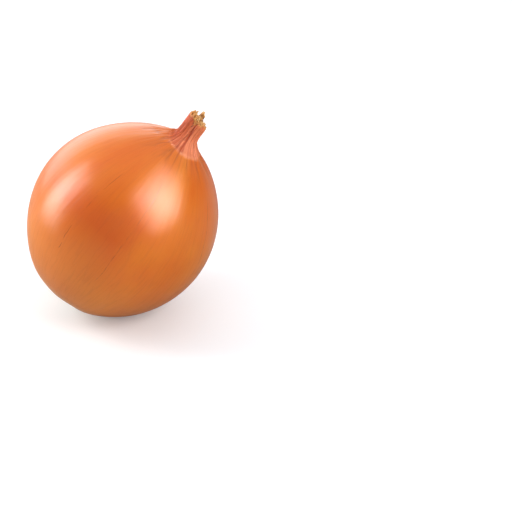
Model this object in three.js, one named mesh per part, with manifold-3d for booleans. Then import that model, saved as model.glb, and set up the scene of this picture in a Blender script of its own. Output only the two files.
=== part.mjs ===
// A whole yellow onion in its dry skin: a globe of a bulb drawn up into a wrinkled neck, the torn straw
// ends of the dried leaves standing in the neck, and a root plate with curled stubs of root.
// Millimetres, +Z up. The onion leans towards +X and rests on a small flat spot, whose middle is the origin.
import * as THREE from "three";
import { mergeVertices } from "three/addons/utils/BufferGeometryUtils.js";
import Module from "manifold-3d";

const wasm = await Module();
wasm.setup();

// Driving dimensions. Levels are heights along the bulb's axis, measured from its widest level.
const BULB_DIAMETER = 76;
const LEAN = THREE.MathUtils.degToRad(36.5); // of the bulb's axis from upright
const REST_SPOT_DEPTH = 1.1; // flattening that gives a resting spot about 18 across
const GAP = 0.3; // between neighbouring pieces

// Side of the bulb: how far it stays upright above and below the widest level before it rounds off
const UPPER_FULLNESS = 20.6;
const LOWER_FULLNESS = 20;

// Neck
const SHOULDER_DIAMETER = 18.4; // where the bulb's shoulder turns up into the neck
const SHOULDER_LEVEL = 41;
const SHOULDER_RUN = 13.5; // the shoulder's slope: this far across
const SHOULDER_DROP = 6.2; // and this far down
const SHOULDER_CARRY = 1 / 5; // share of that slope that carries on into the neck's foot
const NECK_DIAMETER = 8.6;
const NECK_WAIST_LEVEL = 48;
const NECK_WAIST_RUN = 4; // how far below that level the neck stays narrow
const NECK_RIM_LEVEL = 53;
const RIM_SLANT = 0.5; // the rim is this much higher on the upper side of the lean and lower on the other
const CUP_DIAMETER = 5.8; // the torn leaf ends stand in a cup in the neck
const CUP_DEPTH = 5.5;

// Root end
const ROOT_LEVEL = -38.9;
const ROOT_RIM_WIDTH = 0.8; // flat rim of skin round the root plate
const ROOT_FLATNESS = 13; // how far out from that rim the root end stays nearly flat
const ROOT_PLATE_DIAMETER = 16.6;
const ROOT_PLATE_CROWN = 0.7; // the plate stands out of its dish by this much
const ROOT_PLATE_ROUND = 1.3; // height of its rounded face, from the edge to the crown
const ROOT_DISH_DEPTH = 1.9;

// Relief of the skin, each with its counts of waves round the axis
const RELIEF_BLEND = 5; // the bulb's relief gives way to the neck's this far below and above the shoulder
const PANEL_RELIEF = 0.28; // broad flats that run from pole to pole
const PANEL_WAVES = [2, 5, 9];
const WRINKLE_RELIEF = 0.45; // folds along the neck
const WRINKLE_WAVES = [3, 7, 11];
const TEAR_RELIEF = 0.9; // tears in the rim
const TEAR_WAVES = [3, 5, 8];
const TEAR_LENGTH = 3;
const WRAP_STEP = 0.6; // edge of the outermost leaf where it laps round the neck
const WRAP_EDGE = THREE.MathUtils.degToRad(-97.5); // where that edge lies round the axis

// Leaf ends in the neck, on a short core; pairs are limits of a random draw
const CORE_BELOW_RIM = 1;
const CORE_TAPER = 0.5;
const LEAF_SEED = 7;
const LEAF_ENDS = 19;
const LEAF_END_FOOT = 1; // above the core's foot
const LEAF_END_INSET = 0.75; // of the outermost ones from the core's side
const LEAF_END_THICKNESS = 0.7;
const LEAF_END_WIDTH = [1.4, 2.3];
const LEAF_END_PROUD = [-0.3, 1.4]; // above the neck's rim
const LEAF_END_FLARE = [0, 0.5];
const LEAF_END_SKEW = [-0.6, 0.6];
const LEAF_END_TWIST = [-0.3, 0.3]; // radians
const LEAF_END_ARCH = 0.35; // hollow across the blade
const LEAF_END_TAPER = 0.45;
const SPIKE_LEAF = 11; // one leaf end stands out of the bunch as a spike
const SPIKE_LENGTH = 2.4;

// Stubs of root
const ROOT_SEED = 31;
const ROOT_STUBS = 42;
const ROOT_STUB_DIAMETER = 1.15;
const ROOT_STUB_INSET = 0.8; // of the outermost ones from the plate's edge
const ROOT_STUB_SUNK = 0.5; // above the root level, inside the plate
const ROOT_STUB_SPLAY = 0.5;
const ROOT_STUB_REACH = [-1.5, -2.2]; // straight out of the plate, down the axis
const ROOT_STUB_MIDDLE = 0.6; // share of that reach where one more point keeps it straight
const ROOT_STUB_CURL = [-1.3, 1.3]; // radians, away from straight outwards
const ROOT_STUB_HOOK = [0.8, 1.9]; // how far it curls over
const ROOT_STUB_DIP = 0.3; // on the way over
const ROOT_TIP_TURN = 1; // radians
const ROOT_TIP_SHARE = 0.7; // of the hook
const ROOT_TIP_LIFT = 0.6; // back towards the plate

// Facets and cutting lengths
const SKIN_FACETS = 66;
const SMALL_FACETS = 24;
const LEAF_END_FACETS = [1, 2, 3]; // through, across and along
const ROOT_STUB_SIDES = 5;
const ROOT_STUB_STEPS = 6;
const ROOT_PLATE_STEPS = 4;
const BULB_STEPS = 14; // along each half of the bulb's outline
const NECK_FOOT_STEPS = 7;
const NECK_SIDE_STEPS = 4;
const SEARCH_STEPS = 500; // for the outline's lowest point in the lean
const CUTTER_LENGTH = 20;
const GOLDEN_ANGLE = Math.PI * (3 - Math.sqrt(5));

// Sizes that follow
const bulbRadius = BULB_DIAMETER / 2;
const neckRadius = NECK_DIAMETER / 2;
const cupRadius = CUP_DIAMETER / 2;
const cupFloor = NECK_RIM_LEVEL - CUP_DEPTH;
const plateRadius = ROOT_PLATE_DIAMETER / 2;
const dishRadius = plateRadius + GAP;
const dishFloor = ROOT_LEVEL + ROOT_DISH_DEPTH;
const sinLean = Math.sin(LEAN);
const cosLean = Math.cos(LEAN);

const skin = new THREE.MeshStandardMaterial({ color: 0xc8641f, roughness: 0.38, metalness: 0 });
const straw = new THREE.MeshStandardMaterial({ color: 0xd9a862, roughness: 0.85, metalness: 0 });
const root = new THREE.MeshStandardMaterial({ color: 0xd8bd84, roughness: 0.9, metalness: 0 });

const ramp = THREE.MathUtils.smoothstep;

// Seeded random numbers between two limits, the same on every run.
function seededRandom(seed) {
  let state = seed;
  return (low, high) => {
    state = (Math.imul(state, 1664525) + 1013904223) >>> 0;
    return low + ((high - low) * state) / 2 ** 32;
  };
}

// A closed solid from a three.js geometry: shared vertices are merged, collapsed triangles are dropped.
function solidOf(geometry) {
  const bare = geometry.clone();
  bare.deleteAttribute("normal");
  bare.deleteAttribute("uv");
  const merged = mergeVertices(bare, 1e-4);
  const corners = merged.index.array;
  const kept = [];
  for (let i = 0; i < corners.length; i += 3) {
    const [a, b, c] = corners.slice(i, i + 3);
    if (a !== b && b !== c && c !== a) kept.push(a, b, c);
  }
  const vertProperties = new Float32Array(merged.attributes.position.array);
  const triVerts = new Uint32Array(kept);
  return new wasm.Manifold(new wasm.Mesh({ numProp: 3, vertProperties, triVerts }));
}

function geometryOf(solid) {
  const { vertProperties, triVerts } = solid.getMesh();
  const geometry = new THREE.BufferGeometry();
  geometry.setAttribute("position", new THREE.BufferAttribute(vertProperties, 3));
  geometry.setIndex(new THREE.BufferAttribute(triVerts, 1));
  geometry.computeVertexNormals();
  return geometry;
}

// Moves every vertex of a geometry by a rule.
function reshape(geometry, rule) {
  const position = geometry.getAttribute("position");
  const point = new THREE.Vector3();
  for (let i = 0; i < position.count; i++) {
    rule(point.fromBufferAttribute(position, i));
    position.setXYZ(i, point.x, point.y, point.z);
  }
  return geometry;
}

// A turned shape about +Z from an outline of (radius, height) points that runs upwards.
function turned(outline, facets) {
  return new THREE.LatheGeometry(outline, facets).rotateX(Math.PI / 2);
}

// A round bar along +Z that stands on a level.
function roundBar(lowRadius, topRadius, level, length) {
  const bar = new THREE.CylinderGeometry(topRadius, lowRadius, length, SMALL_FACETS);
  return bar.rotateX(Math.PI / 2).translate(0, 0, level + length / 2);
}

// Waves round the axis, from -1 to 1. Each count of waves has a phase of its own.
function ripple(angle, counts) {
  const total = counts.reduce((sum, count) => sum + Math.cos(count * (angle + count)), 0);
  return total / counts.length;
}

// How far the leaf that laps round the neck stands out: a step at its edge that thins away.
function lap(angle) {
  const turn = (angle - WRAP_EDGE) / (2 * Math.PI);
  return WRAP_STEP * (0.5 - (turn - Math.floor(turn)));
}

// Stretches of the outline of bulb and neck, as radius and level, from the root end up to the rim
const at = (radius, level) => new THREE.Vector2(radius, level);
const rootRim = at(dishRadius + ROOT_RIM_WIDTH, ROOT_LEVEL);
const widest = at(bulbRadius, 0);
const shoulder = at(SHOULDER_DIAMETER / 2, SHOULDER_LEVEL);
const waist = at(neckRadius, NECK_WAIST_LEVEL);
const rim = at(neckRadius, NECK_RIM_LEVEL);

const underside = new THREE.CubicBezierCurve(
  rootRim,
  at(rootRim.x + ROOT_FLATNESS, ROOT_LEVEL),
  at(bulbRadius, -LOWER_FULLNESS),
  widest,
);
const upperSide = new THREE.CubicBezierCurve(
  widest,
  at(bulbRadius, UPPER_FULLNESS),
  at(shoulder.x + SHOULDER_RUN, SHOULDER_LEVEL - SHOULDER_DROP),
  shoulder,
);
const neckFoot = new THREE.CubicBezierCurve(
  shoulder,
  at(shoulder.x - SHOULDER_RUN * SHOULDER_CARRY, SHOULDER_LEVEL + SHOULDER_DROP * SHOULDER_CARRY),
  at(neckRadius, NECK_WAIST_LEVEL - NECK_WAIST_RUN),
  waist,
);
const neckSide = new THREE.LineCurve(waist, rim);

const bulbOutline = [
  at(0, ROOT_LEVEL),
  ...underside.getPoints(BULB_STEPS),
  ...upperSide.getPoints(BULB_STEPS).slice(1),
  ...neckFoot.getPoints(NECK_FOOT_STEPS).slice(1),
  ...neckSide.getPoints(NECK_SIDE_STEPS).slice(1),
  at(0, NECK_RIM_LEVEL),
];

// The underside's lowest point in the lean gives the bulb's height and its offset from the resting spot.
const depthBelowMiddle = (p) => p.x * sinLean - p.y * cosLean;
const lower = (a, b) => (depthBelowMiddle(b) > depthBelowMiddle(a) ? b : a);
const lowest = underside.getPoints(SEARCH_STEPS).reduce(lower);
const middleHeight = depthBelowMiddle(lowest) - REST_SPOT_DEPTH;
const middleOffset = -(lowest.x * cosLean + lowest.y * sinLean);

// Turns the plain outline into a grown one: broad flats down the bulb, and on the neck folds, a lapped edge
// and a slanting torn rim.
function growSkin(p) {
  const angle = Math.atan2(p.y, p.x);
  const radius = Math.hypot(p.x, p.y);
  const onNeck = ramp(p.z, SHOULDER_LEVEL - RELIEF_BLEND, SHOULDER_LEVEL + RELIEF_BLEND);
  const nearRim = ramp(p.z, NECK_RIM_LEVEL - TEAR_LENGTH, NECK_RIM_LEVEL);
  const offAxis = Math.min(1, radius / cupRadius);

  const panels = PANEL_RELIEF * ripple(angle, PANEL_WAVES) * (1 - onNeck);
  const folds = (WRINKLE_RELIEF * ripple(angle, WRINKLE_WAVES) + lap(angle)) * onNeck;
  const tears = (TEAR_RELIEF * ripple(angle, TEAR_WAVES) - RIM_SLANT * Math.cos(angle)) * nearRim;

  const grown = radius + offAxis * (panels + folds);
  p.set(grown * Math.cos(angle), grown * Math.sin(angle), p.z + offAxis * tears);
}

// Bulb and neck in one, with a cup in the neck's end, a dish at the root end and the flat resting spot.
function bulbSolid(ground) {
  const outside = reshape(turned(bulbOutline, SKIN_FACETS), growSkin);
  const cup = roundBar(cupRadius, cupRadius, cupFloor, CUTTER_LENGTH);
  const dish = roundBar(dishRadius, dishRadius, dishFloor - CUTTER_LENGTH, CUTTER_LENGTH);
  return [cup, dish, ground].reduce((solid, cut) => solid.subtract(solidOf(cut)), solidOf(outside));
}

// One torn leaf end: a thin arched strip that narrows to a skewed tip and leans out as it rises.
function leafEnd({ width, length, flare, skew }) {
  const strip = new THREE.BoxGeometry(LEAF_END_THICKNESS, width, length, ...LEAF_END_FACETS);
  return reshape(strip.translate(0, 0, length / 2), (p) => {
    const rise = p.z / length;
    const across = p.y / (width / 2);
    p.x += flare * rise ** 2 - LEAF_END_ARCH * across ** 2;
    p.y *= 1 - LEAF_END_TAPER * rise;
    p.z += skew * across * rise;
  });
}

// The bunch of dried leaf ends, spread evenly over a short core that stands in the neck's cup.
function neckTuftSolid() {
  const between = seededRandom(LEAF_SEED);
  const floor = cupFloor + GAP;
  const coreRadius = cupRadius - GAP;
  const coreHeight = CUP_DEPTH - GAP - CORE_BELOW_RIM;
  const leafFoot = floor + LEAF_END_FOOT;
  let tuft = solidOf(roundBar(coreRadius, coreRadius - CORE_TAPER, floor, coreHeight));
  for (let i = 0; i < LEAF_ENDS; i++) {
    const share = Math.sqrt((i + 0.5) / LEAF_ENDS);
    const angle = i * GOLDEN_ANGLE;
    const proud = between(...LEAF_END_PROUD) - RIM_SLANT * share * Math.cos(angle);
    const spike = i === SPIKE_LEAF ? SPIKE_LENGTH : 0;
    const blade = leafEnd({
      width: between(...LEAF_END_WIDTH),
      length: NECK_RIM_LEVEL - leafFoot + proud + spike,
      flare: between(...LEAF_END_FLARE) * share,
      skew: between(...LEAF_END_SKEW),
    });
    blade.rotateZ(between(...LEAF_END_TWIST));
    blade.translate((coreRadius - LEAF_END_INSET) * share, 0, leafFoot).rotateZ(angle);
    tuft = tuft.add(solidOf(blade));
  }
  return tuft;
}

// The line of one stub of root: out of the plate, then curled over to one side, clear of the ground.
function rootStubLine(share, angle, between) {
  const step = (point, turn, across, along) =>
    point.clone().add(new THREE.Vector3(across * Math.cos(turn), across * Math.sin(turn), along));
  const curl = angle + between(...ROOT_STUB_CURL);
  const hook = between(...ROOT_STUB_HOOK);
  const middle = new THREE.Vector3(0, 0, ROOT_LEVEL);
  const base = step(middle, angle, (plateRadius - ROOT_STUB_INSET) * share, ROOT_STUB_SUNK);
  const knee = step(base, angle, ROOT_STUB_SPLAY * share, between(...ROOT_STUB_REACH));
  const over = step(knee, curl, hook, -ROOT_STUB_DIP);
  const tip = step(over, curl + ROOT_TIP_TURN, hook * ROOT_TIP_SHARE, ROOT_TIP_LIFT);
  const line = [base, base.clone().lerp(knee, ROOT_STUB_MIDDLE), knee, over, tip];
  line.forEach((p) => {
    const height = middleHeight + p.z * cosLean - p.x * sinLean;
    p.z += Math.max(0, ROOT_STUB_DIAMETER - height) / cosLean;
  });
  return new THREE.CatmullRomCurve3(line);
}

// The root plate, a low crowned disc in its dish, with its stubs spread evenly over it.
function rootTuftSolid() {
  const between = seededRandom(ROOT_SEED);
  const crown = ROOT_LEVEL - ROOT_PLATE_CROWN;
  const face = new THREE.QuadraticBezierCurve(
    at(0, crown),
    at(plateRadius, crown),
    at(plateRadius, crown + ROOT_PLATE_ROUND),
  );
  const plateOutline = [
    ...face.getPoints(ROOT_PLATE_STEPS),
    at(plateRadius, dishFloor - GAP),
    at(0, dishFloor - GAP),
  ];
  const section = new THREE.Shape(
    Array.from({ length: ROOT_STUB_SIDES }, (_, i) => {
      const corner = new THREE.Vector2(ROOT_STUB_DIAMETER / 2, 0);
      return corner.rotateAround(new THREE.Vector2(), (2 * Math.PI * i) / ROOT_STUB_SIDES);
    }),
  );
  let tuft = solidOf(turned(plateOutline, SMALL_FACETS));
  for (let i = 0; i < ROOT_STUBS; i++) {
    const extrudePath = rootStubLine(Math.sqrt((i + 0.5) / ROOT_STUBS), i * GOLDEN_ANGLE, between);
    const stub = new THREE.ExtrudeGeometry(section, { extrudePath, steps: ROOT_STUB_STEPS });
    tuft = tuft.add(solidOf(stub));
  }
  return tuft;
}

// Assembly: everything grows along the bulb's axis in one leaning group, and the ground flattens the bulb.
const onion = new THREE.Group();
const leaning = new THREE.Group();
leaning.position.set(middleOffset, 0, middleHeight);
leaning.rotation.y = LEAN;
leaning.updateMatrix();
onion.add(leaning);

const ground = new THREE.BoxGeometry(BULB_DIAMETER, BULB_DIAMETER, CUTTER_LENGTH);
ground.translate(0, 0, -CUTTER_LENGTH / 2);
ground.applyMatrix4(leaning.matrix.clone().invert());

function addPiece(name, solid, material) {
  const mesh = new THREE.Mesh(geometryOf(solid), material);
  mesh.name = name;
  leaning.add(mesh);
}

addPiece("bulb", bulbSolid(ground), skin);
addPiece("neck_tuft", neckTuftSolid(), straw);
addPiece("root_tuft", rootTuftSolid(), root);

export default onion;
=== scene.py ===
import math
import random

import bpy
from mathutils import Matrix, Vector, noise
from mathutils.geometry import interpolate_bezier


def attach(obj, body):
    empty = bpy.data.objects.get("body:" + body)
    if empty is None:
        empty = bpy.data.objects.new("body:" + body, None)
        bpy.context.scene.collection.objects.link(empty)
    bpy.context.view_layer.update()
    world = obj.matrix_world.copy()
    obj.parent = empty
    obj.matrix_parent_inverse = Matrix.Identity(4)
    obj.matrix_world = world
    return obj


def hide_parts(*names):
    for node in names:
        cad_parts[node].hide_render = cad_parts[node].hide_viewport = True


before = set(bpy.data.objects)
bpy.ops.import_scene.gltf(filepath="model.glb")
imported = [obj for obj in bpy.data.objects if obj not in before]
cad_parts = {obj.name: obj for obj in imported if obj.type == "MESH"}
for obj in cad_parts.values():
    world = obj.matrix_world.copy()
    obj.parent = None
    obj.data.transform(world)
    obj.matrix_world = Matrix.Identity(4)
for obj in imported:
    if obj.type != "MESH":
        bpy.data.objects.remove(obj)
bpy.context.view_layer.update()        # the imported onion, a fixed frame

mm = 0.001
fullTurn = 2 * math.pi
goldenAngle = math.pi * (3 - math.sqrt(5))

# how the onion lies, in mm and degrees, as its solids do
onion = {
    "lean": 36.5,                         # of its axis from upright, towards +X
    "middle": (3.549, 0, 39.132),         # centre of its widest level, over the resting spot
    "radius": 38,
    "weld": 0.003,                        # points closer than this are one
}
standing = (Matrix.Translation(Vector(onion["middle"]) * mm)
            @ Matrix.Rotation(math.radians(onion["lean"]), 4, "Y"))


def ease(value, low, high):               # 0 below low, 1 above high, smooth between
    step = min(1, max(0, (value - low) / (high - low)))
    return step * step * (3 - 2 * step)


def linear(hexColour, alpha=1):           # sRGB hex to the linear colour that a socket takes
    parts = [int(hexColour[place:place + 2], 16) / 255 for place in (1, 3, 5)]
    return [part / 12.92 if part <= 0.04045 else ((part + 0.055) / 1.055) ** 2.4 for part in parts] + [alpha]


def addNode(tree, kind, inputs=None, **settings):
    node = tree.nodes.new(kind)
    for name, value in settings.items():
        setattr(node, name, value)
    for socket, value in (inputs or {}).items():
        if isinstance(value, bpy.types.NodeSocket):
            tree.links.new(value, node.inputs[socket])
        else:
            node.inputs[socket].default_value = value
    return node


def newMaterial(name):
    material = bpy.data.materials.new(name)
    material.use_nodes = True
    return material, material.node_tree, material.node_tree.nodes["Principled BSDF"]


def layOver(tree, colour, layers):        # each layer: its colour, where it lies, and how much of it at most
    for shade, where, most in layers:
        factor = addNode(tree, "ShaderNodeMath", {0: where, 1: most}, operation="MULTIPLY").outputs[0]
        colour = addNode(tree, "ShaderNodeMix", {0: factor, 6: colour, 7: linear(shade)}, data_type="RGBA").outputs[2]
    return colour


def selectOnly(piece):
    bpy.ops.object.select_all(action="DESELECT")
    piece.select_set(True)
    bpy.context.view_layer.objects.active = piece


def applyModifier(piece, kind, **settings):
    selectOnly(piece)
    modifier = piece.modifiers.new(kind.lower(), kind)
    for name, value in settings.items():
        setattr(modifier, name, value)
    bpy.ops.object.modifier_apply(modifier=modifier.name)


def spinOutline(name, outline, steps):    # a point is drawn out along the outline, and the line is spun
    bpy.ops.object.select_all(action="DESELECT")
    bpy.ops.mesh.primitive_plane_add(size=mm)
    piece = bpy.context.object
    piece.name = name
    bpy.ops.object.mode_set(mode="EDIT")
    bpy.ops.mesh.select_all(action="SELECT")
    bpy.ops.mesh.merge(type="CENTER")
    bpy.ops.transform.translate(value=outline[0] * mm)
    for here, there in zip(outline, outline[1:]):
        bpy.ops.mesh.extrude_vertices_move(TRANSFORM_OT_translate={"value": (there - here) * mm})
    bpy.ops.mesh.select_all(action="SELECT")
    bpy.ops.mesh.spin(steps=steps, angle=fullTurn, center=(0, 0, 0), axis=(0, 0, 1))
    bpy.ops.mesh.select_all(action="SELECT")
    bpy.ops.mesh.remove_doubles(threshold=onion["weld"] * mm)
    bpy.ops.mesh.normals_make_consistent(inside=False)
    bpy.ops.object.mode_set(mode="OBJECT")
    bpy.ops.object.shade_smooth()
    return piece


def stretch(start, startHandle, endHandle, end, count):   # one curve of an outline, from (radius, level) pairs
    return interpolate_bezier(*corners(start, startHandle, endHandle, end), count)


def corners(*pairs):
    return [Vector((radius, 0, level)) for radius, level in pairs]


def keepMarks(piece, kind, marks):        # one value for each point, for the material to read
    for name, values in marks.items():
        layer = piece.data.attributes.new(name, kind, "POINT")
        layer.data.foreach_set("vector" if kind == "FLOAT_VECTOR" else "value", values)


def joinCopies(name, copies):
    bpy.ops.object.select_all(action="DESELECT")
    for copy in copies:
        copy.select_set(True)
    bpy.context.view_layer.objects.active = copies[0]
    bpy.ops.object.join()
    copies[0].name = name
    return copies[0]


def settle(piece, slot, material, *nodes):   # laid where the onion lies, its place put into its mesh
    piece.data.materials.clear()
    piece.data.materials.append(material)
    piece.matrix_world = standing
    selectOnly(piece)
    bpy.ops.object.transform_apply(location=True, rotation=True, scale=True)
    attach(piece, "root")
    if nodes:
        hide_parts(*nodes)


# the bulb's skin with its neck: mm, radius from its own axis, level from its widest ring; waves are how fast a
# noise changes round the axis
skin = {
    "spinSteps": 300, "lowerSteps": 52, "upperSteps": 50, "footSteps": 34, "neckSteps": 20,
    "upperFullness": 20.6, "lowerFullness": 20,
    "shoulderRadius": 9.2, "shoulderLevel": 41, "shoulderRun": 13.5, "shoulderDrop": 6.2,
    "shoulderCarry": 5,                       # the slope carries on by one part in this many into the neck's foot
    "neckRadius": 4.3, "waistLevel": 48, "waistRun": 4, "rimLevel": 53,
    "rimWall": 0.45, "cupDepth": 5.5, "cupMargin": 0.24, "cupFold": (47.6, 48.6),
    "rootLevel": -38.9, "rootRim": 9.4, "rootFlatness": 13, "rootPaleReach": 8,
    "dishRadius": 8.6, "dishFloor": -37, "lipHeight": 0.35,
    "neckBlend": (36, 46),                    # levels over which the bulb's relief gives way to the neck's
    "panelDepth": 0.28, "panels": (2, 5, 9),
    "wrinkleDepth": 0.45, "wrinkles": (3, 7, 11), "wrinkleCalm": 2.5,
    "creaseDepth": 0.38, "creaseLevels": (33, 44), "creaseCalm": 0.5, "creaseWander": 0.25, "wanderPitch": 3,
    "crease": {"waves": 4.2, "length": 14, "shift": (3, 0), "width": 0.17},
    "fineCrease": {"waves": 10.92, "length": 9, "shift": (0, 7), "width": 0.2, "share": 0.45, "shade": 0.5},
    "tearFrom": 49.5, "tearHeight": 1.0, "tears": (3, 5, 8), "rimSlant": 1.0, "rimDrop": 0.5,
    "raggedHeight": 0.9, "raggedWaves": 5.2, "fineRagged": 0.6, "fineRaggedWaves": 13,
    "fringe": 1.8, "fringeFrom": 0.3, "fringeEdge": 0.25, "fringeWaves": 9, "fringeLength": 6,
    "lapStep": 0.6, "lapEdge": -98, "lapSwing": 7.5, "lapSwingLevel": 46, "lapSwingRun": 3.5,
    "lapShade": 0.16, "lapShadeLevels": (36, 41), "lapUnder": 0.6,
    "flapMiddle": -48,                        # degrees, where the neck is pinkest
    "hemLevel": 42.3, "hemRise": 1.9, "hemLow": -72, "hemRagged": 0.4, "hemWaves": 3.1,
    "fineHem": 0.6, "fineHemWaves": 9.3,
    "hemStep": 0.34, "hemEdge": 0.14, "hemReach": (1.2, 5), "hemFrom": (36, 39),
    "hemProud": -55, "hemSharpness": 2.5,     # degrees, where the hem laps over the bulb; it tucks under opposite
    "hemFade": (0.25, 2.0), "hemLine": 0.16, "hemLineShift": 0.1, "hemTuckedLine": 0.08,
    "hemPatches": (0.6, 0.8), "hemPatchWaves": 6.1,
    "throatDepth": 0.3, "throatRise": 1.1, "throatRun": 0.9, "throatSide": (-0.2, 0.8),
}


def skinOutline():
    root = (skin["rootRim"], skin["rootLevel"])
    widest = (onion["radius"], 0)
    shoulder = (skin["shoulderRadius"], skin["shoulderLevel"])
    waist = (skin["neckRadius"], skin["waistLevel"])
    rim = (skin["neckRadius"], skin["rimLevel"])
    cup = skin["neckRadius"] - skin["rimWall"]
    cupFloor = skin["rimLevel"] - skin["cupDepth"]
    lip = skin["rootLevel"] - skin["lipHeight"]
    dish = skin["dishRadius"]
    # the dish's floor and wall, and the thin lip of skin round it
    line = corners((0, skin["dishFloor"]), (dish / 2, skin["dishFloor"]), (dish - 0.3, skin["dishFloor"]),
                   (dish, skin["dishFloor"] - 0.4), (dish + 0.05, lip + 0.7), (dish + 0.1, lip + 0.1),
                   (dish + 0.2, lip), (dish + 0.35, lip + 0.03))
    line += stretch(root, (root[0] + skin["rootFlatness"], root[1]), (onion["radius"], -skin["lowerFullness"]),
                    widest, skin["lowerSteps"])
    line += stretch(widest, (onion["radius"], skin["upperFullness"]),
                    (shoulder[0] + skin["shoulderRun"], shoulder[1] - skin["shoulderDrop"]),
                    shoulder, skin["upperSteps"])[1:]
    carry = (shoulder[0] - skin["shoulderRun"] / skin["shoulderCarry"],
             shoulder[1] + skin["shoulderDrop"] / skin["shoulderCarry"])
    line += stretch(shoulder, carry, (waist[0], waist[1] - skin["waistRun"]), waist, skin["footSteps"])[1:]
    line += stretch(waist, waist, rim, rim, skin["neckSteps"])[1:]
    # over the rim, and down the cup's wall to its floor
    line += corners((rim[0] - 0.12, rim[1] + 0.12), (cup + 0.1, rim[1] + 0.1), (cup, rim[1] - 0.1), (cup, rim[1] - 1),
                    (cup, rim[1] - 2.2), (cup - 0.1, cupFloor + 0.5), (cup - 0.6, cupFloor), (0, cupFloor))
    return line


def ripple(angle, counts):                # as the solids are rippled
    return sum(math.cos(count * (angle + count)) for count in counts) / len(counts)


def lapAngle(level):                      # where the outer leaf's edge runs up the neck
    swing = math.exp(-((level - skin["lapSwingLevel"]) / skin["lapSwingRun"]) ** 2)
    return math.radians(skin["lapEdge"] + skin["lapSwing"] * swing)


def creaseAt(around, level, wander, crease):   # 0 on the smooth skin to 1 along the middle of a crease
    field = noise.noise(Vector((around.x * crease["waves"] + crease["shift"][0],
                                around.y * crease["waves"] + crease["shift"][1], level / crease["length"] + wander)))
    return max(0, 1 - abs(field) / crease["width"]) ** 2


def hemAt(angle, around):                 # level of the ragged hem where the bulb's skin meets the neck
    return (skin["hemLevel"] - skin["hemRise"] * math.cos(angle - math.radians(skin["hemLow"]))
            + skin["hemRagged"] * noise.noise(around * skin["hemWaves"] + Vector((0, 5, 0)))
            + skin["fineHem"] * skin["hemRagged"] * noise.noise(around * skin["fineHemWaves"]))


def tearAt(angle, around):                # how far the torn rim stands above its level
    ragged = (noise.noise(around * skin["raggedWaves"] + Vector((2, 0, 0)))
              + skin["fineRagged"] * noise.noise(around * skin["fineRaggedWaves"] + Vector((0, 0, 4))))
    return (skin["tearHeight"] * ripple(angle, skin["tears"]) - skin["rimSlant"] * math.cos(angle) - skin["rimDrop"]
            + skin["raggedHeight"] * ragged)


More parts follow.
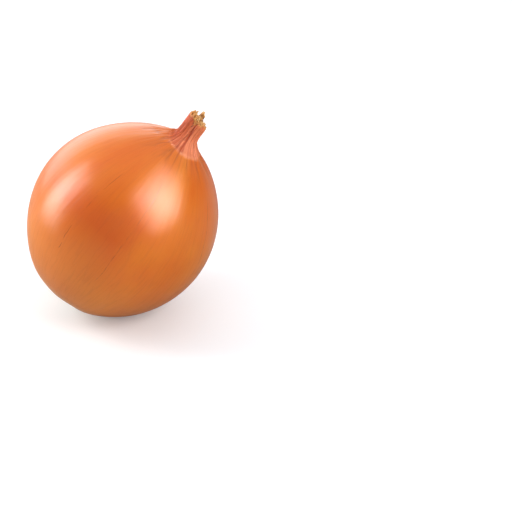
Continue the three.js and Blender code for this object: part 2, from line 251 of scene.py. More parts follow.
def growSkin():
    piece = spinOutline("bulbSkin", skinOutline(), skin["spinSteps"])
    mesh = piece.data
    normals = [vertex.normal.copy() for vertex in mesh.vertices]
    fine = skin["fineCrease"]
    grain = []
    tones = {name: [] for name in ("neckTone", "flapTone", "lapShadeTone", "hemTone", "creaseShadeTone", "rimTone", "rootTone")}
    for vertex, normal in zip(mesh.vertices, normals):
        x, y, level = vertex.co / mm
        radius, angle = math.hypot(x, y), math.atan2(y, x)
        around = Vector((math.cos(angle), math.sin(angle), 0))
        inCup = level > skin["shoulderLevel"] and radius < skin["neckRadius"] - skin["cupMargin"]
        onNeck = ease(level, *skin["neckBlend"])
        nearRim = ease(level, skin["tearFrom"], skin["rimLevel"])

        # the bulb's broad flats, and the neck's folds with the outer leaf lapped round them
        lapPlace = (angle - lapAngle(level)) / fullTurn % 1
        lap = skin["lapStep"] * (0.5 - lapPlace)
        lift = skin["panelDepth"] * ripple(angle, skin["panels"]) * (1 - onNeck) * min(1, radius / skin["dishRadius"])
        lift += ((skin["wrinkleDepth"] * ripple(angle, skin["wrinkles"]) + lap)
                 * onNeck * min(1, radius / skin["wrinkleCalm"]))

        # creases that run up the shoulder into the neck
        wander = skin["creaseWander"] * noise.noise(Vector((0, 0, level / skin["wanderPitch"])))
        crease = creaseAt(around, level, wander, skin["crease"])
        fineCrease = creaseAt(around, level, 0, fine)
        creaseReach = ease(level, *skin["creaseLevels"]) * (1 - skin["creaseCalm"] * nearRim)
        lift -= skin["creaseDepth"] * (crease * creaseReach ** 2 + fine["share"] * fineCrease * creaseReach)

        # the hem: it laps over the bulb on one side, and on the other it tucks under, below a shallow throat
        hem = hemAt(angle, around)
        proud = max(-1, min(1, skin["hemSharpness"] * math.cos(angle - math.radians(skin["hemProud"]))))
        hemRise = (proud * (2 * ease(level, hem - skin["hemEdge"], hem + skin["hemEdge"]) - 1)
                   * (1 - ease(abs(level - hem), *skin["hemReach"])))
        lift += 0.5 * skin["hemStep"] * hemRise * ease(level, *skin["hemFrom"])
        throat = math.exp(-((level - hem - skin["throatRise"]) / skin["throatRun"]) ** 2)
        lift -= skin["throatDepth"] * throat * ease(-proud, *skin["throatSide"])

        if inCup:
            lift = -lift * ease(level, *skin["cupFold"])      # the wall keeps its thickness
        if radius > 0.5:                                      # the poles stay on the axis
            vertex.co += normal * lift * mm
            vertex.co.z += tearAt(angle, around) * nearRim * mm

        # what the material reads: a place for its grain, and where each tone lies
        grain += [onion["radius"] * around.x * mm, onion["radius"] * around.y * mm, level * mm]
        sharp, soft = skin["hemFade"]
        fade = sharp + soft * (0.5 - 0.5 * proud)
        tones["neckTone"].append(ease(level, hem - fade, hem + fade))
        lapMiss = (lapPlace if lapPlace < 0.5 else lapPlace - 1) * fullTurn * radius      # mm from the lap's edge
        # painted shadow: the strip just under the lapped edge takes the neck's dark colour, and a dark line runs along
        # the edge
        shadowUnderLap = -skin["lapUnder"] <= lapMiss <= 0
        tones["flapTone"].append(0 if shadowUnderLap else 0.5 + 0.5 * math.cos(angle - math.radians(skin["flapMiddle"])))
        tones["lapShadeTone"].append(math.exp(-abs(lapMiss + skin["lapShade"] / 2) / skin["lapShade"])
                                 * ease(level, *skin["lapShadeLevels"]))
        hemLine = math.exp(-abs(level - hem - skin["hemLineShift"] * proud) / skin["hemLine"])
        hemShow = skin["hemTuckedLine"] + (1 - skin["hemTuckedLine"]) * max(0, proud)
        mean, swing = skin["hemPatches"]
        tones["hemTone"].append(hemLine * hemShow * (mean + swing * noise.noise(around * skin["hemPatchWaves"])))
        # painted shade: the creases are darkened
        tones["creaseShadeTone"].append(min(1, (crease + fine["shade"] * fineCrease) * creaseReach))
        fringe = noise.noise(Vector((around.x * skin["fringeWaves"], around.y * skin["fringeWaves"],
                                     level / skin["fringeLength"])))
        straw = skin["rimLevel"] - skin["fringeFrom"] - skin["fringe"] * max(0, fringe)
        tones["rimTone"].append(1 if inCup else ease(level, straw - skin["fringeEdge"], straw + skin["fringeEdge"]))
        # paler towards the root: partly the skin's own colour, partly a painted highlight
        tones["rootTone"].append(1 - ease(level, skin["rootLevel"] - 0.2, skin["rootLevel"] + skin["rootPaleReach"]))
    keepMarks(piece, "FLOAT_VECTOR", {"grain": grain})
    keepMarks(piece, "FLOAT", tones)
    return piece


# dry onion skin: the outer leaf, dried to paper on the bulb and rubbed to a satin gloss, so the eye gets a
# deep orange with a soft broad shine, fine veins that run from root to neck, and a duller, pinker neck
skinFinish = {
    "deep": "#D65A06", "golden": "#E48212", "paintedBandShade": "#C24C04", "amber": "#F8963C", "vein": "#94400E",
    "neckDark": "#B84402", "neckPink": "#E68050", "neckShadeColour": "#8C3408", "hem": "#F0A272", "rimStraw": "#D2924A",
    "rootPale": "#E9B77E",
    "cloud": 24, "streak": 3.4, "veinGap": 1.5, "paper": 0.35,   # mm; the paper is coarser than real cells, to show
    "grainStretch": 0.07,                     # a streak or vein is this wide for its length
    "amberLevels": (6, -18),                  # mm, the colour turns paler from the first level down to the second
    "paintedBandSide": -124, "paintedBandSpread": 0.82, "paintedBandLevels": (30, 12),   # painted shade: a darker, redder patch where the shaded band between the two highlights falls, in degrees round and mm
    "gloss": 0.28, "neckGloss": 0.68, "veinGloss": 0.06, "waxShine": 0.6, "refraction": 1.5,
    "relief": 0.045, "streakRelief": 1.6, "paperRelief": 0.08,   # mm for the veins, the others as shares of it
    "cloudRange": (0.3, 0.7), "veinWidth": 0.05, "breakRange": (0.4, 0.6),   # of a noise from 0 to 1
    "neckStreaks": 1.1, "pinkRange": (1.05, 1.5),
    "longVeins": ((-98.5, -12, 37), (-129, -14, 24), (-40, -30, 30), (15, -20, 36), (62, -28, 34),
                  (118, -16, 37), (163, -30, 28)),                         # degrees round, from and to level in mm
    "longVeinWidth": 0.2, "longVeinSway": 1.2, "swayPitch": 9, "breakPitch": 3.2, "longVeinEnds": (4, 3),   # mm
}


def drySkin():
    look = skinFinish
    material, tree, shader = newMaterial("Dry onion skin")
    grain = addNode(tree, "ShaderNodeAttribute", attribute_name="grain").outputs["Vector"]
    mark = {name: addNode(tree, "ShaderNodeAttribute", attribute_name=name).outputs["Fac"]
            for name in ("neckTone", "flapTone", "lapShadeTone", "hemTone", "creaseShadeTone", "rimTone", "rootTone")}
    lengthwise = addNode(tree, "ShaderNodeMapping", {"Vector": grain,
                                                     "Scale": (1, 1, look["grainStretch"])}).outputs["Vector"]
    cloud = addNode(tree, "ShaderNodeTexNoise",
                    {"Vector": grain, "Scale": 1 / (look["cloud"] * mm), "Detail": 3}).outputs["Fac"]
    streak = addNode(tree, "ShaderNodeTexNoise",
                     {"Vector": lengthwise, "Scale": 1 / (look["streak"] * mm), "Detail": 4}).outputs["Fac"]
    vein = addNode(tree, "ShaderNodeTexNoise",
                   {"Vector": lengthwise, "Scale": 1 / (look["veinGap"] * mm), "Detail": 2}).outputs["Fac"]
    veinMiss = addNode(tree, "ShaderNodeMath", {0: vein, 1: 0.5}, operation="SUBTRACT").outputs[0]
    veinNear = addNode(tree, "ShaderNodeMath", {0: veinMiss}, operation="ABSOLUTE").outputs[0]
    veinLine = addNode(tree, "ShaderNodeMapRange",
                       {"Value": veinNear, "From Min": 0, "From Max": look["veinWidth"],
                        "To Min": 1, "To Max": 0}).outputs[0]
    paper = addNode(tree, "ShaderNodeTexNoise",
                    {"Vector": grain, "Scale": 1 / (look["paper"] * mm), "Detail": 2}).outputs["Fac"]

    # the few long veins that show as a broken dark line
    wobble = addNode(tree, "ShaderNodeTexNoise", {"Vector": grain, "Scale": 1 / (look["swayPitch"] * mm),
                                                  "Detail": 3}).outputs["Fac"]
    most = look["longVeinSway"] * mm
    sway = addNode(tree, "ShaderNodeMath", {0: wobble, 1: 2 * most, 2: -most}, operation="MULTIPLY_ADD").outputs[0]
    breaks = addNode(tree, "ShaderNodeTexNoise", {"Vector": grain, "Scale": 1 / (look["breakPitch"] * mm),
                                                  "Detail": 2}).outputs["Fac"]
    start, end = look["breakRange"]
    broken = addNode(tree, "ShaderNodeMapRange", {"Value": breaks, "From Min": start, "From Max": end}).outputs[0]
    level = addNode(tree, "ShaderNodeSeparateXYZ", {"Vector": grain}).outputs["Z"]
    longVein = None
    footRun, headRun = look["longVeinEnds"]
    for degrees, low, high in look["longVeins"]:
        turn = math.radians(degrees)
        miss = addNode(tree, "ShaderNodeVectorMath", {0: grain, 1: (-math.sin(turn), math.cos(turn), 0)},
                       operation="DOT_PRODUCT").outputs["Value"]
        front = addNode(tree, "ShaderNodeVectorMath", {0: grain, 1: (math.cos(turn), math.sin(turn), 0)},
                        operation="DOT_PRODUCT").outputs["Value"]
        miss = addNode(tree, "ShaderNodeMath", {0: miss, 1: sway}, operation="ADD").outputs[0]
        miss = addNode(tree, "ShaderNodeMath", {0: miss}, operation="ABSOLUTE").outputs[0]
        line = addNode(tree, "ShaderNodeMapRange", {"Value": miss, "From Min": look["longVeinWidth"] * mm / 2,
                       "From Max": look["longVeinWidth"] * mm, "To Min": 1, "To Max": 0}).outputs[0]
        side = addNode(tree, "ShaderNodeMath", {0: front, 1: 0.0}, operation="GREATER_THAN").outputs[0]
        above = addNode(tree, "ShaderNodeMapRange", {"Value": level, "From Min": (low - footRun) * mm,
                                                     "From Max": low * mm}).outputs[0]
        below = addNode(tree, "ShaderNodeMapRange", {"Value": level, "From Min": high * mm,
                                                     "From Max": (high + headRun) * mm,
                                                     "To Min": 1, "To Max": 0}).outputs[0]
        for limit in (side, above, below):
            line = addNode(tree, "ShaderNodeMath", {0: line, 1: limit}, operation="MULTIPLY").outputs[0]
        longVein = line if longVein is None else addNode(tree, "ShaderNodeMath", {0: longVein, 1: line},
                                                         operation="MAXIMUM").outputs[0]
    longVein = addNode(tree, "ShaderNodeMath", {0: longVein, 1: broken}, operation="MULTIPLY").outputs[0]

    # the bulb: golden clouds and streaks on the deep orange, then what lies over them
    start, end = look["cloudRange"]
    body = addNode(tree, "ShaderNodeMapRange", {"Value": cloud, "From Min": start, "From Max": end}).outputs[0]
    start, end = look["amberLevels"]
    lower = addNode(tree, "ShaderNodeMapRange", {"Value": level, "From Min": start * mm,
                                                 "From Max": end * mm}).outputs[0]
    # painted shade: the skin is darker and redder on the side where the shaded band between the two highlights falls
    turn = math.radians(look["paintedBandSide"])
    facing = addNode(tree, "ShaderNodeVectorMath", {0: grain, 1: (math.cos(turn), math.sin(turn), 0)},
                     operation="DOT_PRODUCT").outputs["Value"]
    across = addNode(tree, "ShaderNodeMapRange", {"Value": facing, "From Max": onion["radius"] * mm,
                                                  "From Min": look["paintedBandSpread"] * onion["radius"] * mm}).outputs[0]
    start, end = look["paintedBandLevels"]
    below = addNode(tree, "ShaderNodeMapRange", {"Value": level, "From Min": start * mm,
                                                 "From Max": end * mm}).outputs[0]
    paintedBandShade = addNode(tree, "ShaderNodeMath", {0: across, 1: below}, operation="MULTIPLY").outputs[0]
    colour = layOver(tree, linear(look["deep"]), (
        (look["golden"], body, 0.75), (look["golden"], streak, 0.25), (look["paintedBandShade"], paintedBandShade, 0.65),
        (look["amber"], lower, 0.6), (look["vein"], veinLine, 0.1), (look["vein"], longVein, 0.6),
        # paler towards the root: partly the skin's own colour, partly a painted highlight
        (look["rootPale"], mark["rootTone"], 0.6)))

    # the neck: dark on one side of the lapped edge, with a strip of painted shadow just under the edge, and pink on the
    # other, both streaked
    flap = addNode(tree, "ShaderNodeMath", {0: streak, 1: look["neckStreaks"], 2: mark["flapTone"]},
                   operation="MULTIPLY_ADD").outputs[0]
    start, end = look["pinkRange"]
    flap = addNode(tree, "ShaderNodeMapRange", {"Value": flap, "From Min": start, "From Max": end}).outputs[0]
    neck = addNode(tree, "ShaderNodeMix", {0: flap, 6: linear(look["neckDark"]), 7: linear(look["neckPink"])},
                   data_type="RGBA").outputs[2]
    colour = addNode(tree, "ShaderNodeMix", {0: mark["neckTone"], 6: colour, 7: neck}, data_type="RGBA").outputs[2]
    # painted shade: the creases and the lap's edge are darkened with the neck's shade colour
    colour = layOver(tree, colour, (
        (look["neckShadeColour"], mark["creaseShadeTone"], 0.62), (look["hem"], mark["hemTone"], 0.6),
        (look["neckShadeColour"], mark["lapShadeTone"], 0.75), (look["rimStraw"], mark["rimTone"], 0.85)))

    rough = addNode(tree, "ShaderNodeMapRange", {"Value": mark["neckTone"], "To Min": look["gloss"],
                    "To Max": look["neckGloss"]}).outputs[0]
    rough = addNode(tree, "ShaderNodeMath", {0: veinLine, 1: look["veinGloss"], 2: rough},
                    operation="MULTIPLY_ADD").outputs[0]
    relief = addNode(tree, "ShaderNodeMath", {0: streak, 1: look["streakRelief"], 2: vein},
                     operation="MULTIPLY_ADD").outputs[0]
    relief = addNode(tree, "ShaderNodeMath", {0: paper, 1: look["paperRelief"], 2: relief},
                     operation="MULTIPLY_ADD").outputs[0]
    bump = addNode(tree, "ShaderNodeBump", {"Height": relief, "Strength": 1,
                                            "Distance": look["relief"] * mm}).outputs["Normal"]
    shader.inputs["IOR"].default_value = look["refraction"]
    shader.inputs["Specular IOR Level"].default_value = look["waxShine"]
    for socket, value in (("Base Color", colour), ("Roughness", rough), ("Normal", bump)):
        tree.links.new(value, shader.inputs[socket])
    return material


bulbSkin = growSkin()
settle(bulbSkin, "skin", drySkin(), "bulb")
for vertex in bulbSkin.data.vertices:     # it gives under its own weight and rests on a small flat spot
    vertex.co.z = max(vertex.co.z, 0)
print("bulb's skin:", len(bulbSkin.data.polygons), "faces")


# the torn, dried ends of the leaves that stand in the neck: mm
tuft = {
    "seed": 11, "kinds": 6, "strips": 66, "reach": 3.7, "footReach": 0.72, "foot": 47.9, "top": 52.8,
    "uneven": 1.6, "slant": 1.3, "width": (1.1, 2.3), "thickness": 0.4, "splay": 10, "splayShare": (0.2, 1),
    "turn": 0.7, "squeeze": (0.7, 1.1), "smooth": 40,
    "teeth": 6, "toothDepth": (-0.22, 0.06), "lengthSteps": 9, "taper": 0.3,
    "hollow": (0.15, 0.5), "bend": (-0.5, 0.9), "twist": (-0.6, 0.6),
    "spikeSeed": 3, "spikeAngle": 72, "spikeRadius": 2.9, "spikeTop": 56.4, "spikeWidth": 2.4, "spikeTone": 0.8,
}


def tornStrip(width, length, draw):       # a strip of leaf: hollow across, bent along, its end torn to teeth
    bpy.ops.object.select_all(action="DESELECT")
    bpy.ops.mesh.primitive_grid_add(x_subdivisions=tuft["teeth"], y_subdivisions=tuft["lengthSteps"], size=1)
    strip = bpy.context.object
    teeth = [draw.uniform(*tuft["toothDepth"]) for _ in range(tuft["teeth"] + 1)]
    hollow, bend, twist = (draw.uniform(*tuft[name]) for name in ("hollow", "bend", "twist"))
    fibre, along = [], []
    for vertex in strip.data.vertices:
        across, rise = vertex.co.x, vertex.co.y + 0.5
        tooth = teeth[round((across + 0.5) * tuft["teeth"])]
        side = across * width * (1 - tuft["taper"] * rise ** 2)
        turn = twist * rise
        depth = hollow * width * 4 * across ** 2 + bend * rise ** 2
        high = length * rise * (1 + tooth * rise ** 3)
        vertex.co = Vector((side * math.cos(turn) - depth * math.sin(turn),
                            side * math.sin(turn) + depth * math.cos(turn), high)) * mm
        fibre += [side * mm, depth * mm, high * mm]
        along.append(rise)
    keepMarks(strip, "FLOAT_VECTOR", {"fibre": fibre})
    keepMarks(strip, "FLOAT", {"along": along, "tone": [0.5] * len(along)})
    applyModifier(strip, "SOLIDIFY", thickness=tuft["thickness"] * mm, offset=0)
    selectOnly(strip)
    bpy.ops.object.shade_smooth_by_angle(angle=math.radians(tuft["smooth"]))
    return strip


def placeCopy(kind, place, tone):
    copy = kind.copy()
    copy.data = kind.data.copy()
    bpy.context.collection.objects.link(copy)
    copy.data.transform(place)
    layer = copy.data.attributes["tone"]
    layer.data.foreach_set("value", [tone] * len(layer.data))
    return copy


def growTuft():
    draw = random.Random(tuft["seed"])
    length = tuft["top"] - tuft["foot"]
    kinds = [tornStrip(draw.uniform(*tuft["width"]), length, draw) for _ in range(tuft["kinds"])]
    copies = []
    for count in range(tuft["strips"]):
        angle = count * goldenAngle
        out = tuft["reach"] * math.sqrt((count + 0.5) / tuft["strips"])
        footOut = tuft["footReach"] * out
        foot = Vector((footOut * math.cos(angle), footOut * math.sin(angle), tuft["foot"])) * mm
        splay = math.radians(tuft["splay"]) * out / tuft["reach"] * draw.uniform(*tuft["splayShare"])
        slant = tuft["slant"] * math.cos(angle) * out / tuft["reach"]
        tall = 1 + (draw.uniform(-1, 1) * tuft["uneven"] - slant) / length
        turn = angle - math.pi / 2 + draw.uniform(-tuft["turn"], tuft["turn"])
        place = (Matrix.Translation(foot) @ Matrix.Rotation(turn, 4, "Z") @ Matrix.Rotation(-splay, 4, "X")
                 @ Matrix.Diagonal((draw.uniform(*tuft["squeeze"]), 1, tall, 1)))
        copies.append(placeCopy(kinds[count % len(kinds)], place, draw.random()))
    spike = tornStrip(tuft["spikeWidth"], tuft["spikeTop"] - tuft["foot"], random.Random(tuft["spikeSeed"]))
    angle = math.radians(tuft["spikeAngle"])
    foot = Vector((tuft["spikeRadius"] * math.cos(angle), tuft["spikeRadius"] * math.sin(angle), tuft["foot"])) * mm
    copies.append(placeCopy(spike, Matrix.Translation(foot) @ Matrix.Rotation(angle - math.pi / 2, 4, "Z"),
                            tuft["spikeTone"]))
    for model in kinds + [spike]:
        bpy.data.objects.remove(model)
    return joinCopies("neckTuft", copies)


# torn dry leaf: dead leaf that dried in the neck and was broken off, so it is matt straw with lengthwise brown fibres,
# pale at the torn ends, and darkened with painted shade towards each strip's foot, down between them
leafFinish = {
    "straw": "#E6A452", "pale": "#FCD694", "old": "#B8722C", "fibreBrownAndShade": "#783C0C", "gloss": 0.72,
    "fibre": 0.3, "relief": 0.06,             # mm
    "fibreStretch": 0.12, "paleEnd": (0.8, 1), "leafShadeFoot": (0.68, 0.92),   # shares of a strip's length
}


def tornLeaf():
    look = leafFinish
    material, tree, shader = newMaterial("Torn dry leaf")
    fibre = addNode(tree, "ShaderNodeAttribute", attribute_name="fibre").outputs["Vector"]
    along = addNode(tree, "ShaderNodeAttribute", attribute_name="along").outputs["Fac"]
    tone = addNode(tree, "ShaderNodeAttribute", attribute_name="tone").outputs["Fac"]
    apart = addNode(tree, "ShaderNodeCombineXYZ", {"X": tone, "Y": tone}).outputs[0]
    thread = addNode(tree, "ShaderNodeMapping", {"Vector": fibre, "Location": apart,
                                                 "Scale": (1, 1, look["fibreStretch"])}).outputs[0]
    threads = addNode(tree, "ShaderNodeTexNoise",
                      {"Vector": thread, "Scale": 1 / (look["fibre"] * mm), "Detail": 3}).outputs["Fac"]
    start, end = look["paleEnd"]
    pale = addNode(tree, "ShaderNodeMapRange", {"Value": along, "From Min": start, "From Max": end}).outputs[0]
    pale = addNode(tree, "ShaderNodeMath", {0: pale, 1: tone}, operation="MULTIPLY").outputs[0]
    start, end = look["leafShadeFoot"]
    # painted shade: each strip darkens towards its foot, down between the strips
    deep = addNode(tree, "ShaderNodeMapRange", {"Value": along, "From Min": start, "From Max": end,
                                                "To Min": 1, "To Max": 0}).outputs[0]
    thready = addNode(tree, "ShaderNodeMapRange", {"Value": threads, "From Min": 0.5, "From Max": 0.75}).outputs[0]
    old = addNode(tree, "ShaderNodeMapRange", {"Value": tone, "From Min": 0.5, "From Max": 0.1}).outputs[0]
    colour = layOver(tree, linear(look["straw"]), (
        (look["old"], old, 0.8), (look["pale"], pale, 0.9), (look["fibreBrownAndShade"], thready, 0.5), (look["fibreBrownAndShade"], deep, 0.95)))
    bump = addNode(tree, "ShaderNodeBump", {"Height": threads, "Strength": 1,
                                            "Distance": look["relief"] * mm}).outputs["Normal"]
    shader.inputs["Roughness"].default_value = look["gloss"]
    tree.links.new(colour, shader.inputs["Base Color"])
    tree.links.new(bump, shader.inputs["Normal"])
    return material


neckTuft = growTuft()
settle(neckTuft, "dry_leaf", tornLeaf(), "neck_tuft")
print("neck's leaf ends:", len(neckTuft.data.polygons), "faces")


# the root plate and the mat of dried roots on it: mm, the plate faces down the axis
roots = {
    "seed": 5, "plateRadius": 7.8, "plateFoot": -37.2, "plateEdge": -38.5, "plateCrown": -39.2,
    "plateSteps": 120, "faceSteps": 26, "wallSteps": 6, "plateBumps": 0.35, "bumpWaves": 0.9, "fineBumpWaves": 2.3,
    "kinds": 6, "stubs": 210, "thickness": 0.33, "thin": 0.45, "reach": 7.5, "edgeDrop": 0.5, "sunk": 0.15,
    "rise": (0.7, 1.5), "lie": (1.4, 3.0), "curl": (-2.2, 2.2), "straight": 0.3, "steps": 5,
    "turn": (1.2, 5.1), "spread": (0.7, 1.1), "tall": (0.7, 1.2), "smooth": 50,
}


def growPlate():
    edge, foot, crown = roots["plateRadius"], roots["plateFoot"], roots["plateCrown"]
    line = stretch((0, crown), (edge * 0.6, crown), (edge, crown + 0.2), (edge, roots["plateEdge"]), roots["faceSteps"])
    line += stretch((edge, roots["plateEdge"]), (edge, foot), (edge, foot), (edge - 0.5, foot),
                    roots["wallSteps"])[1:]
    line += corners((edge / 2, foot), (0, foot))
    plate = spinOutline("rootPlate", line, roots["plateSteps"])
    for vertex in plate.data.vertices:
        spot = vertex.co / mm
        out = math.hypot(spot.x, spot.y) / edge
        if 0.02 < out and spot.z < foot - 0.2:
            bumps = noise.noise(spot * roots["bumpWaves"]) + 0.5 * noise.noise(spot * roots["fineBumpWaves"])
            vertex.co.z += roots["plateBumps"] * bumps * mm
    return plate


def rootStub(draw):                       # one dried root: it stands up off the plate, then curls over
    rise, lie, curl = (draw.uniform(*roots[name]) for name in ("rise", "lie", "curl"))
    bpy.ops.object.select_all(action="DESELECT")
    bpy.ops.curve.primitive_nurbs_path_add(radius=mm)
    stub = bpy.context.object
    path = stub.data.splines[0]
    path.points.add(roots["steps"] + 2 - len(path.points))
    for count, point in enumerate(path.points):
        part = count / (len(path.points) - 1)
        over = max(0, part - roots["straight"]) / (1 - roots["straight"])
        turn = curl * over
        point.co = (*(Vector((lie * over * math.cos(turn), lie * over * math.sin(turn),
                              -rise * math.sin(min(1, part * 1.5) * 1.9) + 0.25 * (1 - part))) * mm), 1)
        point.radius = 1 - roots["thin"] * part
    stub.data.bevel_depth = roots["thickness"] * mm
    stub.data.bevel_resolution = 1
    stub.data.resolution_u = 2
    stub.data.use_fill_caps = True
    path.use_endpoint_u = True
    bpy.ops.object.convert(target="MESH")
    bpy.ops.object.shade_smooth_by_angle(angle=math.radians(roots["smooth"]))
    count = len(stub.data.vertices)
    lowest = min(vertex.co.z for vertex in stub.data.vertices)
    keepMarks(stub, "FLOAT", {"along": [vertex.co.z / lowest for vertex in stub.data.vertices], "tone": [0.5] * count})
    return stub


def growRoots():
    draw = random.Random(roots["seed"])
    kinds = [rootStub(draw) for _ in range(roots["kinds"])]
    copies = []
    for count in range(roots["stubs"]):
        angle = count * goldenAngle
        out = roots["reach"] * math.sqrt((count + 0.5) / roots["stubs"])
        level = roots["plateCrown"] + roots["edgeDrop"] * (out / roots["reach"]) ** 4 + roots["sunk"]
        place = (Matrix.Translation(Vector((out * math.cos(angle), out * math.sin(angle), level)) * mm)
                 @ Matrix.Rotation(angle + draw.uniform(*roots["turn"]), 4, "Z")
                 @ Matrix.Diagonal((draw.uniform(*roots["spread"]), draw.uniform(*roots["spread"]),
                                    draw.uniform(*roots["tall"]), 1)))
        copies.append(placeCopy(kinds[count % len(kinds)], place, draw.random()))
    for model in kinds:
        bpy.data.objects.remove(model)
    return joinCopies("rootStubs", copies)


# dried root: thin roots shrunk hard on a corky plate, matt and pale straw where they stand, mottled darker at random,
# with painted shade darkening the plate and each root's foot between them
rootFinish = {
    "straw": "#E9CE8F", "pale": "#F6E6BC", "mottleAndShade": "#4E3210", "gloss": 0.8,
    "mottle": 0.8, "relief": 0.15,            # mm
    # painted shade darkens the plate and each root's foot (shares of its length); the roots are also mottled darker at
    # random
    "rootMottle": 0.35, "plateShade": 0.85, "rootShadeFoot": (0.1, 0.7),
}


def driedRoot(name, whole):               # a whole root is darkened with painted shade only at its foot; the plate is darkened in blotches all over, as painted shade
    look = rootFinish
    material, tree, shader = newMaterial(name)
    place = addNode(tree, "ShaderNodeTexCoord").outputs["Object"]
    mottle = addNode(tree, "ShaderNodeTexNoise", {"Vector": place, "Scale": 1 / (look["mottle"] * mm),
                                                  "Detail": 4}).outputs["Fac"]
    darkBlotch = addNode(tree, "ShaderNodeMapRange", {"Value": mottle, "From Min": 0.45, "From Max": 0.7}).outputs[0]
    layers = [(look["mottleAndShade"], darkBlotch, look["rootMottle"] if whole else look["plateShade"])]
    if whole:
        along = addNode(tree, "ShaderNodeAttribute", attribute_name="along").outputs["Fac"]
        tone = addNode(tree, "ShaderNodeAttribute", attribute_name="tone").outputs["Fac"]
        start, end = look["rootShadeFoot"]
        # painted shade: darker towards the root's foot, where it meets the plate
        deep = addNode(tree, "ShaderNodeMapRange", {"Value": along, "From Min": start, "From Max": end,
                                                    "To Min": 1, "To Max": 0}).outputs[0]
        layers = [(look["pale"], tone, 0.8)] + layers + [(look["mottleAndShade"], deep, 0.8)]
    colour = layOver(tree, linear(look["straw"]), layers)
    bump = addNode(tree, "ShaderNodeBump", {"Height": mottle, "Strength": 1,
                                            "Distance": look["relief"] * mm}).outputs["Normal"]
    shader.inputs["Roughness"].default_value = look["gloss"]
    tree.links.new(colour, shader.inputs["Base Color"])
    tree.links.new(bump, shader.inputs["Normal"])
    return material


rootPlate = growPlate()
settle(rootPlate, "root", driedRoot("Corky root plate", False), "root_tuft")
rootStubs = growRoots()
settle(rootStubs, "root", driedRoot("Dried root", True))
print("root end:", len(rootPlate.data.polygons) + len(rootStubs.data.polygons), "faces")


# the studio: metres, directions from the bulb's middle
studio = {
    "floorSize": 30, "floorDrop": 0.05 * mm,
    "floorColour": "#F1F5FC", "floorGlow": 0.14, "floorGloss": 0.9,   # as the camera sees it
    "floorBounce": "#AAAAAA",             # as it lights the onion
    "frontGlow": 0.1, "backGlow": 0.85, "brightSide": (0, 0.6, 0.8), "white": "#FFFFFF",
    "lightColour": "#FFFCF6", "layerGap": 0.02,
    "lights": {
        "rightSoftbox": {"towards": (0.66, -0.48, 0.56), "far": 0.62, "size": (0.34, 0.30), "power": 2.0,
                         "glossy": False},
        "rightShine": {"towards": (0.62, -0.54, 0.50), "far": 0.62, "size": (0.58, 0.62), "power": 3.5,
                       "diffuse": False, "layers": (1, 0.75, 0.5, 0.3)},
        "leftStrip": {"towards": (-0.86, 0.25, 0.45), "far": 0.66, "size": (0.24, 0.62), "power": 3.3,
                      "glossy": False},
        "leftShine": {"towards": (-0.86, 0.14, 0.44), "far": 0.66, "size": (0.44, 0.80), "power": 3.2,
                      "diffuse": False, "layers": (1, 0.75, 0.5, 0.3)},
        "frontFill": {"towards": (-0.24, -0.9, 0.32), "far": 0.9, "size": (2.0, 0.7), "power": 4.8,
                      "glossy": False},
        "backCard": {"towards": (-0.25, 0.95, 0.22), "far": 1.2, "size": (1.6, 0.7), "power": 7.2},
    },
    "cameraRise": 28, "lens": 100, "sensor": 36, "imageSize": 512, "nearest": 0.01,
    "bulbPixel": (123.3, 219.3), "pixelsPerMm": 93.5 / 38,
}


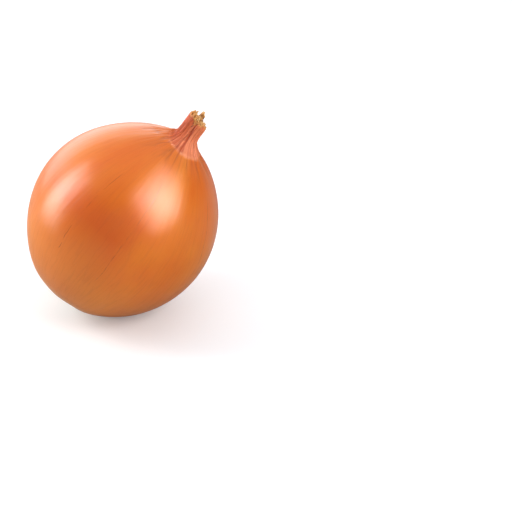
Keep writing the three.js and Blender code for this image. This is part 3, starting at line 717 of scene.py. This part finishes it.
def setStudio():
    bpy.ops.object.select_all(action="DESELECT")
    bpy.ops.mesh.primitive_plane_add(size=studio["floorSize"], location=(0, 0, -studio["floorDrop"]))
    floor = bpy.context.object
    floor.name = "studioFloor"
    material, tree, shader = newMaterial("White studio paper")
    seen = addNode(tree, "ShaderNodeLightPath").outputs["Is Camera Ray"]
    glow = addNode(tree, "ShaderNodeMath", {0: seen, 1: studio["floorGlow"]}, operation="MULTIPLY").outputs[0]
    paper = addNode(tree, "ShaderNodeMix", {0: seen, 6: linear(studio["floorBounce"]),
                                            7: linear(studio["floorColour"])}, data_type="RGBA").outputs[2]
    tree.links.new(paper, shader.inputs["Base Color"])
    shader.inputs["Roughness"].default_value = studio["floorGloss"]
    shader.inputs["Specular IOR Level"].default_value = 0
    shader.inputs["Emission Color"].default_value = linear(studio["white"])
    tree.links.new(glow, shader.inputs["Emission Strength"])
    floor.data.materials.append(material)
    world = bpy.data.worlds.new("studioRoom")
    world.use_nodes = True
    tree = world.node_tree
    towards = addNode(tree, "ShaderNodeTexCoord").outputs["Generated"]
    towards = addNode(tree, "ShaderNodeVectorMath", {0: towards, 1: studio["brightSide"]},
                      operation="DOT_PRODUCT").outputs["Value"]
    glow = addNode(tree, "ShaderNodeMapRange", {"Value": towards, "From Min": 0, "From Max": 1,
                                                "To Min": studio["frontGlow"], "To Max": studio["backGlow"]},
                   interpolation_type="SMOOTHSTEP").outputs[0]
    seen = addNode(tree, "ShaderNodeLightPath").outputs["Is Camera Ray"]
    glow = addNode(tree, "ShaderNodeMath", {0: glow, 1: seen}, operation="MAXIMUM").outputs[0]
    tree.nodes["Background"].inputs["Color"].default_value = linear(studio["white"])
    tree.links.new(glow, tree.nodes["Background"].inputs["Strength"])
    bpy.context.scene.world = world
    for name, light in studio["lights"].items():
        towards = Vector(light["towards"]).normalized()
        for layer in light.get("layers", (1,)):      # one before the other, all as bright, for a soft edge
            place = Vector(onion["middle"]) * mm + towards * light["far"] * (1 + studio["layerGap"] * layer)
            bpy.ops.object.light_add(type="AREA", location=place)
            lamp = bpy.context.object
            lamp.name = name
            lamp.rotation_euler = (-towards).to_track_quat("-Z", "Y").to_euler()
            lamp.data.shape = "RECTANGLE"
            lamp.data.size, lamp.data.size_y = (side * layer for side in light["size"])
            lamp.data.energy = light["power"] * layer ** 2
            lamp.data.color = linear(studio["lightColour"])[:3]
            lamp.visible_camera = False
            lamp.visible_diffuse = light.get("diffuse", True)
            lamp.visible_glossy = light.get("glossy", True)


def setCamera():                          # the bulb's middle lands on its pixel, and the camera isn't shifted
    focal = studio["imageSize"] * studio["lens"] / studio["sensor"]
    right = (studio["bulbPixel"][0] - studio["imageSize"] / 2) / focal
    up = (studio["imageSize"] / 2 - studio["bulbPixel"][1]) / focal
    rise = math.radians(studio["cameraRise"])
    pitch = math.asin(math.sqrt(1 + right ** 2 + up ** 2) * math.sin(rise) / math.hypot(1, up)) + math.atan(up)
    yaw = math.atan2(right, math.cos(pitch) + up * math.sin(pitch))
    away = Vector((0, -math.cos(rise), math.sin(rise))) * focal / studio["pixelsPerMm"]
    bpy.ops.object.camera_add(location=(Vector(onion["middle"]) + away) * mm,
                              rotation=(math.pi / 2 - pitch, 0, yaw))
    camera = bpy.context.object
    camera.data.lens = studio["lens"]
    camera.data.sensor_width = studio["sensor"]
    camera.data.clip_start = studio["nearest"]
    bpy.context.scene.camera = camera


setStudio()
setCamera()
bpy.context.scene.view_settings.view_transform = "Standard"
print("studio set")
